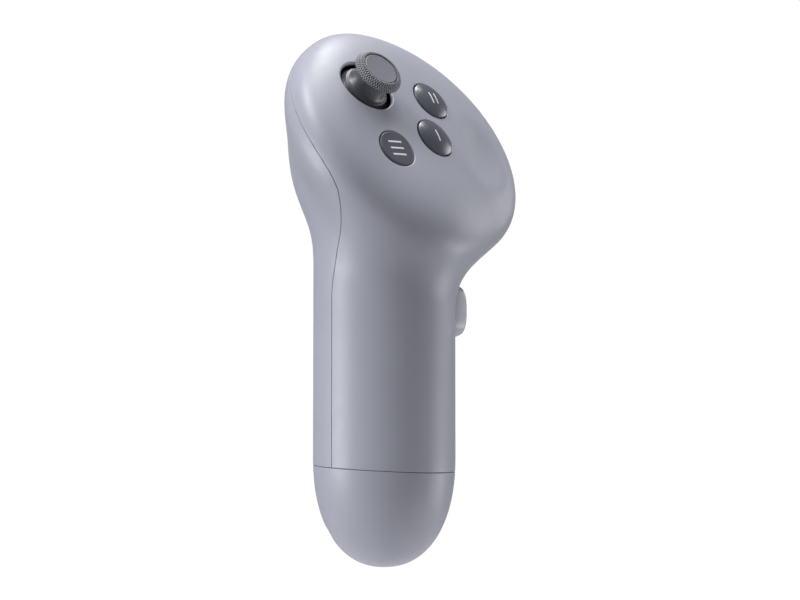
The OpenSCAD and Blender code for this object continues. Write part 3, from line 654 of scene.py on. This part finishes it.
def knurled_cap(material):
    """The thumbstick's cap: a rim of small bumps round a recess for the disc."""
    z0 = STICK_TOP + PIVOT_DEPTH
    bumps = 60
    around = 8 * bumps
    r = STICK_CAP_R
    under = round_line([[SHAFT_R, z0 - 2.9], [2.6, z0 - 2.9], [4.4, z0 - 2.75], [r - 0.7, z0 - 2.45]], 0.3, 3)
    band = round_line([[r - 0.7, z0 - 2.45], [r - 0.2, z0 - 2.25], [r - 0.06, z0 - 1.6], [r - 0.3, z0 - 1.05],
                       [r - 0.9, z0 - 0.42], [DISC_R + 0.5, z0 - 0.05], [DISC_R + 0.12, z0 - 0.1]], 0.5, 6)
    band = np.array(band)
    length = np.concatenate([[0], np.cumsum(np.linalg.norm(np.diff(band, axis=0), axis=1))])
    even = np.linspace(0, length[-1], 44)
    band = np.stack([np.interp(even, length, band[:, 0]), np.interp(even, length, band[:, 1])], -1)
    inside = [[DISC_R + 0.1, z0 - 0.22], [DISC_R + 0.1, z0 - 1], [SHAFT_R, z0 - 1]]
    line = under[:-1] + list(band) + inside
    points, faces = lathe(line, around, True)
    first = len(under) - 1
    slope = np.gradient(band, axis=0)
    outward = unit(np.stack([slope[:, 1], -slope[:, 0]], -1))
    pitch = 0.7
    bump_h = 0.12
    # Vertex colour for the rubber: a painted highlight on each bump's top and painted shade in the hollows
    # between the bumps.
    bump_painted_light = np.full(len(points), 0.5)
    turn = 2 * math.pi * np.arange(around) / around
    for i in range(len(band)):
        fade = min(1.0, (even[i]) / 0.25, (even[-1] - even[i]) / 0.3)
        wave = np.cos(bumps * turn) * math.cos(2 * math.pi * even[i] / (2 * pitch))
        push = bump_h * max(0.0, fade) * np.sign(wave) * np.abs(wave) ** 0.8
        rows = slice((first + i) * around, (first + i + 1) * around)
        bump_painted_light[rows] += 0.5 * push / bump_h
        points[rows, 0] += push * outward[i, 0] * np.cos(turn)
        points[rows, 1] += push * outward[i, 0] * np.sin(turn)
        points[rows, 2] += push * outward[i, 1]
    piece = mesh_object("thumbstick_cap", at_frame(points, *stick_frame()), faces, sharp=60)
    shade = piece.data.color_attributes.new("bump_painted_light", "FLOAT_COLOR", "POINT")
    shade.data.foreach_set("color", np.repeat(bump_painted_light, 4))
    return finish_piece(piece, "thumbstick_cap", material)


def stick_disc(material):
    """The smooth disc in the cap's recess: bevelled at its edge and slightly dished."""
    z0 = STICK_TOP + PIVOT_DEPTH
    low, high = z0 - 1, z0 - 0.22
    side_r = DISC_R - 0.02
    line = [[0, low], [side_r, low], [side_r, high - 0.22], [DISC_R - 0.25, high]]
    line += [[DISC_R - 0.6, high - 0.03], [0, high - 0.18]]
    line = round_line(line, 0.12, 4)
    points, faces = lathe(line, 128, False)
    piece = mesh_object("thumbstick_disc", at_frame(points, *stick_frame()), faces, sharp=50)
    return finish_piece(piece, "thumbstick_disc", material)


def stick_dome(material):
    """The stepped dome that closes the well under the cap."""
    neck_top = STICK_TOP + PIVOT_DEPTH - 2.95
    outer_r = DOME_R - DOME_CLEAR
    sweep = np.linspace(math.asin(DOME_LOW / outer_r), math.acos(DOME_STEP_R / outer_r), 16)
    outer = [[outer_r * math.cos(t), outer_r * math.sin(t)] for t in sweep]
    neck = [[5.5, 6.5], [5.0, 7.1], [4.45, 8.1], [4.05, 9.1], [3.85, 10.0], [3.8, neck_top]]
    step = [[DOME_STEP_R, outer[-1][1]], [DOME_STEP_R - 0.15, 6.35]]
    flare = round_line(step + neck, 0.22, 4)
    hollow_r = outer_r - DOME_WALL
    sweep = np.linspace(math.acos(SHAFT_R / hollow_r), math.asin(DOME_LOW / hollow_r), 16)
    hollow = [[hollow_r * math.cos(t), hollow_r * math.sin(t)] for t in sweep]
    line = outer + flare[1:] + [[SHAFT_R, neck_top]] + hollow
    points, faces = lathe(line, 144, True)
    piece = mesh_object("thumbstick_dome", at_frame(points, *stick_frame()), faces, sharp=40)
    return finish_piece(piece, "thumbstick_dome", material)


def swing_clear(p):
    """Pulls points towards the grip pin so that the pad swings through its window without touching it."""
    pin = GRIP_PIN_R * np.array([math.cos(GRIP_PIN_ANGLE), math.sin(GRIP_PIN_ANGLE)])
    middle = (PAD_FROM + PAD_TO) / 2
    share = np.clip(np.abs(p[:, 2] - PAD_Z - PAD_H / 2) / (PAD_H / 2), 0, 1)
    half = (PAD_TO - PAD_FROM) / 2 * (1 - share**PAD_POWER) ** (1 / PAD_POWER)
    side = np.sign(np.arctan2(p[:, 1], p[:, 0]) - GRIP_PIN_ANGLE)
    edge = middle + side * half
    room = np.full(len(p), 1e3)
    for radius in (GRIP_R - THIN_WALL, GRIP_R):
        away = np.hypot(radius * np.cos(edge) - pin[0], radius * np.sin(edge) - pin[1])
        room = np.minimum(room, away)
    reached = np.hypot(p[:, 0] - pin[0], p[:, 1] - pin[1])
    shrink = np.minimum(1, room / np.maximum(reached, 1e-6))
    flat = pin + (p[:, :2] - pin) * shrink[:, None]
    return np.column_stack([flat, p[:, 2]])


def grip_pad(material):
    """The grip button: a pillow on the handle's side with walls that go down into its window."""
    around = 192
    middle = (PAD_FROM + PAD_TO) / 2
    half = np.array([(PAD_TO - PAD_FROM) / 2 * GRIP_R, PAD_H / 2])
    turn = 2 * math.pi * np.arange(around) / around
    ring = np.stack([np.cos(turn), np.sin(turn)], -1)
    ring = ring / (np.sum(np.abs(ring) ** PAD_POWER, -1) ** (1 / PAD_POWER))[:, None]

    def place(offset, radius):
        angle = middle + offset[:, 0] / GRIP_R
        z = PAD_Z + PAD_H / 2 + offset[:, 1]
        return np.stack([radius * np.cos(angle), radius * np.sin(angle), z], -1)

    def height(offset, inset):
        share = np.clip(np.abs(offset[:, 1]) / half[1], 0, 1)
        edge = math.sqrt(1 - max(0.0, 1 - inset / PAD_EDGE) ** 2)
        return PAD_OUT * edge * (1 - share**PAD_CROWN) ** (1 / PAD_CROWN)

    insets = [PAD_EDGE * (1 - math.cos(math.pi / 2 * i / 10)) for i in range(11)]
    insets += list(np.linspace(PAD_EDGE, half.min() * 0.98, 16)[1:])
    rows = [place(ring * half, np.full(around, GRIP_R - depth)) for depth in (WALL, 0.5)]
    for inset in insets:
        offset = ring * (half - inset)
        rows.append(place(offset, GRIP_R + height(offset, inset)))
    rows = [swing_clear(row) for row in rows]
    count = len(rows)
    points = np.concatenate(rows + [place(np.zeros((1, 2)), np.array([GRIP_R + PAD_OUT])),
                                    place(np.zeros((1, 2)), np.array([GRIP_R - WALL]))])
    nxt = (np.arange(around) + 1) % around
    last = (count - 1) * around
    faces = np.concatenate([
        grid_triangles(count, around),
        np.stack([last + np.arange(around), last + nxt, np.full(around, count * around)], -1),
        np.stack([nxt, np.arange(around), np.full(around, count * around + 1)], -1),
    ])
    piece = mesh_object("grip_button", points, faces, sharp=50)
    return finish_piece(piece, "grip_button", material)


TRIGGER_SIDE = [
    [0, -2.4], [4.6, -4.2], [4.4, -9], [3.4, -14], [2.7, -18.6], [3.2, -20.4], [4.5, -21], [5.8, -20.4],
    [6.6, -18.6], [7.8, -15.4], [9.7, -11.8], [11, -8.6], [11.4, -5.4], [10.9, -2.6], [9.4, -1.2], [5, 0.6],
    [1.2, 2.1], [-1.6, 1.8], [-2.4, 0], [-1.6, -1.8],
]


def smooth_loop(points, steps):
    """A closed Catmull-Rom curve through the points."""
    points = np.array(points, float)
    out = []
    for i in range(len(points)):
        a, b, c, d = (points[(i + k) % len(points)] for k in (-1, 0, 1, 2))
        for s in range(steps):
            t = s / steps
            square = (2 * a - 5 * b + 4 * c - d) * t**2
            cube = (3 * b - a - 3 * c + d) * t**3
            out.append(0.5 * (2 * b + (c - a) * t + square + cube))
    return np.array(out)


def trigger_piece(material):
    loop = smooth_loop(TRIGGER_SIDE, 6)
    after = np.roll(loop, -1, 0) - np.roll(loop, 1, 0)
    outward = unit(np.stack([after[:, 1], -after[:, 0]], -1))
    area = np.sum(loop[:, 0] * np.roll(loop[:, 1], -1) - loop[:, 1] * np.roll(loop[:, 0], -1))
    outward = outward * np.sign(area)
    edge = 1.1
    steps = 6
    half = TRIGGER_W / 2
    rows = []
    for i in range(steps + 1):
        a = math.pi / 2 * i / steps
        rows.append((-half + edge * (1 - math.sin(a)), edge * (1 - math.cos(a))))
    rows = rows + [(-x, inset) for x, inset in rows[::-1]]
    points = []
    for x, inset in rows:
        flat = loop - outward * inset
        points.append(np.column_stack([np.full(len(flat), x), flat[:, 0], flat[:, 1]]))
    around = len(loop)
    if area < 0:
        points = points[::-1]
    points = np.concatenate(points)
    faces = grid_triangles(len(rows), around).tolist()
    lids = [list(range(around))[::-1], [(len(rows) - 1) * around + k for k in range(around)]]
    mesh = bpy.data.meshes.new("trigger")
    mesh.from_pydata(((points + TRIGGER_PIN) * MM).tolist(), [], faces + lids)
    mesh.polygons.foreach_set("use_smooth", [True] * len(mesh.polygons))
    mesh.set_sharp_from_angle(angle=math.radians(40))
    piece = bpy.data.objects.new("trigger", mesh)
    bpy.context.scene.collection.objects.link(piece)
    return finish_piece(piece, "trigger", material)


# ---- materials ----

class Nodes:
    """Short hand for a procedural material."""

    def __init__(self, name, colour, roughness, **sockets):
        self.material = bpy.data.materials.new(name)
        self.material.use_nodes = True
        self.tree = self.material.node_tree
        self.shader = self.tree.nodes["Principled BSDF"]
        self.shader.inputs["Base Color"].default_value = (*colour, 1)
        self.shader.inputs["Roughness"].default_value = roughness
        for key, value in sockets.items():
            self.shader.inputs[key.replace("_", " ")].default_value = value
        self.coords = self.tree.nodes.new("ShaderNodeTexCoord").outputs["Object"]

    def node(self, kind, **settings):
        made = self.tree.nodes.new(kind)
        for key, value in settings.items():
            if key in made.inputs:
                made.inputs[key].default_value = value
            else:
                setattr(made, key, value)
        return made

    def link(self, a, b):
        self.tree.links.new(a, b)

    def noise(self, scale, detail=3.0, stretch=None):
        made = self.node("ShaderNodeTexNoise", Scale=scale, Detail=detail)
        source = self.coords
        if stretch:
            mapping = self.node("ShaderNodeMapping")
            mapping.inputs["Scale"].default_value = stretch
            self.link(self.coords, mapping.inputs["Vector"])
            source = mapping.outputs["Vector"]
        self.link(source, made.inputs["Vector"])
        return made.outputs["Fac"]

    def ramp(self, source, low, high, start=0.3, end=0.7):
        made = self.node("ShaderNodeMapRange")
        made.inputs["From Min"].default_value = start
        made.inputs["From Max"].default_value = end
        made.inputs["To Min"].default_value = low
        made.inputs["To Max"].default_value = high
        self.link(source, made.inputs["Value"])
        return made.outputs["Result"]

    def tint(self, source, dark, light):
        made = self.node("ShaderNodeValToRGB")
        made.color_ramp.elements[0].position = 0.3
        made.color_ramp.elements[0].color = (*dark, 1)
        made.color_ramp.elements[1].position = 0.7
        made.color_ramp.elements[1].color = (*light, 1)
        self.link(source, made.inputs["Fac"])
        self.link(made.outputs["Color"], self.shader.inputs["Base Color"])

    def rough(self, source, low, high):
        self.link(self.ramp(source, low, high), self.shader.inputs["Roughness"])

    def bump(self, source, height_mm, strength=1.0):
        made = self.node("ShaderNodeBump", Strength=strength, Distance=height_mm * MM)
        self.link(source, made.inputs["Height"])
        if self.shader.inputs["Normal"].is_linked:
            self.link(self.shader.inputs["Normal"].links[0].from_socket, made.inputs["Normal"])
        self.link(made.outputs["Normal"], self.shader.inputs["Normal"])


def moulded(name, colour, roughness, spread=0.04, grain_mm=0.12, grain_h=0.004, **sockets):
    """Moulded plastic: fine spark-eroded grain, slight variation of tone and gloss."""
    m = Nodes(name, colour, roughness, **sockets)
    slow = m.noise(60, 2)
    dark = [c * (1 - spread) for c in colour]
    light = [min(1, c * (1 + spread)) for c in colour]
    m.tint(slow, dark, light)
    m.rough(m.noise(400, 3), roughness - 0.03, roughness + 0.03)
    m.bump(m.noise(1 / (grain_mm * MM), 2), grain_h)
    return m.material


def glossy(name, colour, roughness, **sockets):
    """Polished plastic with faint waviness and a few finger-dulled places."""
    m = Nodes(name, colour, roughness, **sockets)
    m.tint(m.noise(90, 2), [c * 0.92 for c in colour], [min(1, c * 1.08) for c in colour])
    m.rough(m.noise(260, 4), roughness, roughness + 0.06)
    m.bump(m.noise(700, 1), 0.002)
    return m.material


def knurled_rubber():
    """Dark rubber with a painted highlight on each bump's top and painted shade between the bumps."""
    m = Nodes("stick_rubber", (0.1, 0.104, 0.125), 0.48)
    # The vertex colour paints the bump tops pale as a highlight and the hollows dark as shade.
    bump_painted_light = m.node("ShaderNodeVertexColor", layer_name="bump_painted_light").outputs["Color"]
    m.tint(bump_painted_light, (0.035, 0.037, 0.045), (0.23, 0.235, 0.27))
    m.bump(m.noise(1 / (0.2 * MM), 2), 0.006)
    return m.material


def metal(name, colour, roughness, stretch=(1, 1, 1)):
    m = Nodes(name, colour, roughness, Metallic=1.0)
    grain = m.noise(900, 3, stretch)
    m.tint(grain, [c * 0.85 for c in colour], colour)
    m.rough(grain, roughness - 0.05, roughness + 0.1)
    m.bump(grain, 0.002)
    return m.material


def board_material():
    """Solder mask with a faint lattice of tracks under it."""
    m = Nodes("board", (0.02, 0.12, 0.06), 0.4)
    tracks = m.node("ShaderNodeTexVoronoi", Scale=350.0, distance="MANHATTAN")
    m.link(m.coords, tracks.inputs["Vector"])
    m.tint(tracks.outputs["Distance"], (0.01, 0.07, 0.035), (0.03, 0.16, 0.08))
    m.bump(tracks.outputs["Distance"], 0.01)
    return m.material


def cell_material():
    """The cell's printed sleeve: plain bands along its length, no lettering."""
    m = Nodes("cell", (0.05, 0.2, 0.12), 0.3)
    split = m.node("ShaderNodeSeparateXYZ")
    m.link(m.coords, split.inputs["Vector"])
    band = m.ramp(split.outputs["Z"], 0.0, 1.0, -0.016, -0.015)
    m.tint(band, (0.02, 0.025, 0.03), (0.03, 0.22, 0.12))
    m.bump(m.noise(500, 2), 0.003)
    return m.material


def make_materials():
    grey = (0.292, 0.3, 0.358)
    return {
        "shell": moulded("shell_plastic", grey, 0.43, 0.02),
        "trigger": moulded("trigger_plastic", grey, 0.42, 0.02),
        "grip_button": moulded("grip_plastic", (0.36, 0.367, 0.42), 0.36, 0.02),
        "stick_cap": knurled_rubber(),
        "stick_disc": moulded("disc_plastic", (0.15, 0.154, 0.185), 0.42, 0.05, 0.1, 0.003),
        "stick_dome": glossy("dome_plastic", (0.05, 0.052, 0.066), 0.34),
        "button": glossy("button_plastic", (0.058, 0.062, 0.085), 0.28, Coat_Weight=0.5, Coat_Roughness=0.22),
        "menu_button": moulded("menu_plastic", (0.065, 0.068, 0.088), 0.42, 0.05, 0.1, 0.003),
        "mark": moulded("mark_print", (0.62, 0.63, 0.68), 0.4, 0.03, 0.1, 0.002),
        "dark_plastic": moulded("dark_plastic", (0.05, 0.05, 0.06), 0.55, 0.1),
        "white_plastic": moulded("white_plastic", (0.75, 0.75, 0.74), 0.45, 0.03),
        "rubber": moulded("rubber", (0.12, 0.12, 0.13), 0.75, 0.1, 0.15, 0.008),
        "board": board_material(),
        "flex": moulded("flex_film", (0.45, 0.2, 0.05), 0.35, 0.1),
        "cell": cell_material(),
        "steel": metal("steel", (0.62, 0.62, 0.64), 0.3, (1, 1, 8)),
        "brass": metal("brass", (0.75, 0.55, 0.25), 0.32, (8, 1, 1)),
    }


# ---- pieces ----

def dress_frame(materials):
    """Gives every CAD node that stays its slot's material and smooth shading."""
    for part in frame["record"]["subparts"]:
        piece = frame["nodes"][part["node"]]
        piece.data.materials.clear()
        piece.data.materials.append(materials[part["material_slot"]])
        piece.data.polygons.foreach_set("use_smooth", [True] * len(piece.data.polygons))
        piece.data.set_sharp_from_angle(angle=math.radians(30))


def build_shells(materials):
    points, triangles = skin_mesh()
    seam = (SEAM_EDGE,)
    well = (hole_level(STICK_AT, WELL_R, WELL_EDGE), WELL_EDGE)
    holes = [(hole_level(q, r + HOLE_GAP, HOLE_EDGE), HOLE_EDGE)
             for q, r in ((UPPER_AT, BUTTON_R), (LOWER_AT, BUTTON_R), (MENU_AT, MENU_R))]
    above = (cap_level(1), *seam)
    front_cuts = [above, (seam_level(-1), *seam), well, *holes, (pad_level, HOLE_EDGE)]
    rear_cuts = [above, (seam_level(1), *seam), (slot_level, HOLE_EDGE), (pad_level, HOLE_EDGE)]
    cap_cuts = [(cap_level(-1), *seam), (lanyard_level, HOLE_EDGE)]
    for name, cuts in (("front_shell", front_cuts), ("rear_shell", rear_cuts), ("battery_cap", cap_cuts)):
        solid = cut_solid(points, triangles, cuts)
        if name == "battery_cap":
            for extra in (collar_ring(), lanyard_eye()):
                solid = add_part(solid, *extra)
        piece = mesh_object(name, *solid, sharp=40)
        finish_piece(piece, name, materials["shell"])


def add_part(solid, points, faces):
    """Adds a closed part to a solid, with normals averaged over the part's faces."""
    corners = points[faces]
    across = np.cross(corners[:, 1] - corners[:, 0], corners[:, 2] - corners[:, 0])
    shades = np.zeros_like(points)
    for k in range(3):
        np.add.at(shades, faces[:, k], across)
    count = len(solid[0])
    return (np.concatenate([solid[0], points]), np.concatenate([solid[1], faces + count]),
            np.concatenate([solid[2], unit(shades)]))


def collar_ring():
    """The ring on the battery cap that slides up into the handle."""
    low, top = CAP_SEAM_Z - 3, CAP_SEAM_Z + COLLAR_H
    inner, foot = COLLAR_R - COLLAR_WALL, COLLAR_R + 0.7
    line = [[inner, low], [foot, low], [foot, low + 0.9]]
    line += [[COLLAR_R, low + 1.4], [COLLAR_R, top], [inner, top]]
    return lathe(round_line(line + [line[0]], 0.3, 4)[:-1], 144, True)


def lanyard_eye():
    """The tube across the battery cap that the wrist cord ties through."""
    around = 48
    turn = 2 * math.pi * np.arange(around) / around
    outer_r = LANYARD_RECESS_R + 0.45
    rings = []
    for side, radius in ((-1, LANYARD_R), (-1, outer_r), (1, outer_r), (1, LANYARD_R)):
        start = np.stack([0 * turn, LANYARD_Y + radius * np.cos(turn), LANYARD_Z + radius * np.sin(turn)], -1)
        wall = reach(start, np.tile([1.0, 0, 0], (around, 1)), 30)[:, 0]
        start[:, 0] = side * np.minimum(LANYARD_FLAT_X, wall - 0.5)
        rings.append(start)
    return np.concatenate(rings), grid_triangles(5, around) % (4 * around)


def build_controls(materials):
    knurled_cap(materials["stick_cap"])
    stick_disc(materials["stick_disc"])
    stick_dome(materials["stick_dome"])
    button_piece("upper_button", UPPER_AT, BUTTON_R, BUTTON_RISE, 0.35, materials["button"])
    button_piece("lower_button", LOWER_AT, BUTTON_R, BUTTON_RISE, 0.35, materials["button"])
    button_piece("menu_button", MENU_AT, MENU_R, MENU_RISE, 0.08, materials["menu_button"])

    def crown(r):
        return 0.35 + (BUTTON_RISE - 0.35) * (1 - (r / (BUTTON_R - 0.35)) ** 2) + 0.02

    def level_top(r):
        return 0 * r + MENU_RISE + 0.02

    mark = materials["mark"]
    ticks = [(-0.85, 0, 0.24, 1.8, 0), (0.85, 0, 0.24, 1.8, 0)]
    bars = [(0, y, 0.27, 2.25, math.pi / 2) for y in (1.9, 0, -1.9)]
    bar_piece("lower_button_mark", LOWER_AT, [(0, 0, 0.24, 1.8, 0)], crown, mark)
    bar_piece("upper_button_mark", UPPER_AT, ticks, crown, mark)
    bar_piece("menu_icon", MENU_AT, bars, level_top, mark, 0.2)
    grip_pad(materials["grip_button"])
    trigger_piece(materials["trigger"])


# ---- floor, light and camera ----

CAMERA_AZIMUTH = math.radians(-42)
CAMERA_ELEVATION = math.radians(-4)
CAMERA_DISTANCE = 0.68
CAMERA_LENS = 120.0
AIM_RIGHT = 0.004
AIM_HEIGHT = 0.0128
FLOOR_Z = -0.16
FLOOR_R = 0.42
LIGHT_DISTANCE = 0.7
# Name, degrees round from the camera, degrees up, size and watts of each softbox.
SOFTBOXES = [
    ("top_left", -58, 55, (0.26, 0.24), 4.0),
    ("above", -30, 84, (0.3, 0.26), 1.9),
    ("above_behind", 150, 72, (0.26, 0.22), 2.7),
    ("low_left", -75, -3, (0.3, 0.2), 2.7),
    ("low_right", 100, -11, (0.3, 0.2), 1.3),
    ("right", 120, 16, (0.34, 0.26), 1.0),
]


def direction(azimuth, elevation):
    return Vector((
        math.sin(azimuth) * math.cos(elevation),
        -math.cos(azimuth) * math.cos(elevation),
        math.sin(elevation),
    ))


def add_camera():
    right = Vector((math.cos(CAMERA_AZIMUTH), math.sin(CAMERA_AZIMUTH), 0))
    target = right * AIM_RIGHT + Vector((0, 0, AIM_HEIGHT))
    back = direction(CAMERA_AZIMUTH, CAMERA_ELEVATION)
    data = bpy.data.cameras.new("camera")
    data.lens = CAMERA_LENS
    data.sensor_width = 36.0
    camera = bpy.data.objects.new("camera", data)
    camera.location = target + back * CAMERA_DISTANCE
    camera.rotation_euler = back.to_track_quat("Z", "Y").to_euler()
    bpy.context.scene.collection.objects.link(camera)
    bpy.context.scene.camera = camera


def add_floor():
    rings = [0.0, 0.5, 0.97, 1.0]
    around = 96
    points = []
    for i, r in enumerate(rings[1:]):
        for k in range(around):
            a = 2 * math.pi * k / around
            reach_r = r * FLOOR_R / MM
            points.append([reach_r * math.cos(a), reach_r * math.sin(a), FLOOR_Z / MM - (i == 2) * 2])
    points.append([0, 0, FLOOR_Z / MM])
    nxt = (np.arange(around) + 1) % around
    hub = np.stack([np.arange(around), nxt, np.full(around, 3 * around)], -1)
    faces = np.concatenate([grid_triangles(3, around)[:, ::-1], hub])
    floor = mesh_object("floor", points, faces)
    material = Nodes("floor_paper", (0.74, 0.74, 0.75), 0.7)
    material.bump(material.noise(300, 3), 0.02)
    floor.data.materials.append(material.material)


def add_area(name, azimuth, elevation, distance, size, power, tint=(1, 1, 1)):
    data = bpy.data.lights.new(name, "AREA")
    data.shape = "RECTANGLE"
    data.size, data.size_y = size
    data.energy = power
    data.color = tint
    light = bpy.data.objects.new(name, data)
    back = direction(CAMERA_AZIMUTH + math.radians(azimuth), math.radians(elevation))
    light.location = Vector((0.003, 0.0, 0.015)) + back * distance
    light.rotation_euler = back.to_track_quat("Z", "Y").to_euler()
    bpy.context.scene.collection.objects.link(light)


def add_world(front, behind):
    """A studio's white surroundings: white to look at, brighter behind the object than round the viewer."""
    world = bpy.data.worlds.new("studio")
    bpy.context.scene.world = world
    world.use_nodes = True
    tree = world.node_tree
    background = tree.nodes["Background"]
    coords = tree.nodes.new("ShaderNodeTexCoord").outputs["Generated"]
    along = tree.nodes.new("ShaderNodeVectorMath")
    along.operation = "DOT_PRODUCT"
    along.inputs[1].default_value = -direction(CAMERA_AZIMUTH, 0)
    blend = tree.nodes.new("ShaderNodeMapRange")
    blend.interpolation_type = "SMOOTHSTEP"
    blend.inputs["From Min"].default_value = 0.955
    blend.inputs["From Max"].default_value = 0.975
    blend.inputs["To Min"].default_value = front
    blend.inputs["To Max"].default_value = behind
    seen = tree.nodes.new("ShaderNodeMapRange")
    seen.inputs["To Max"].default_value = behind
    tree.links.new(coords, along.inputs[0])
    tree.links.new(along.outputs["Value"], blend.inputs["Value"])
    tree.links.new(tree.nodes.new("ShaderNodeLightPath").outputs["Is Camera Ray"], seen.inputs["Value"])
    tree.links.new(blend.outputs["Result"], seen.inputs["To Min"])
    tree.links.new(seen.outputs["Result"], background.inputs["Strength"])
    background.inputs["Color"].default_value = (1, 1, 1, 1)


def build_studio():
    add_floor()
    bpy.context.scene.view_settings.view_transform = "Standard"
    add_world(0.19, 1.02)
    for name, azimuth, elevation, size, power in SOFTBOXES:
        add_area(name, azimuth, elevation, LIGHT_DISTANCE, size, power)
    add_camera()


materials = make_materials()
dress_frame(materials)
build_shells(materials)
build_controls(materials)
build_studio()
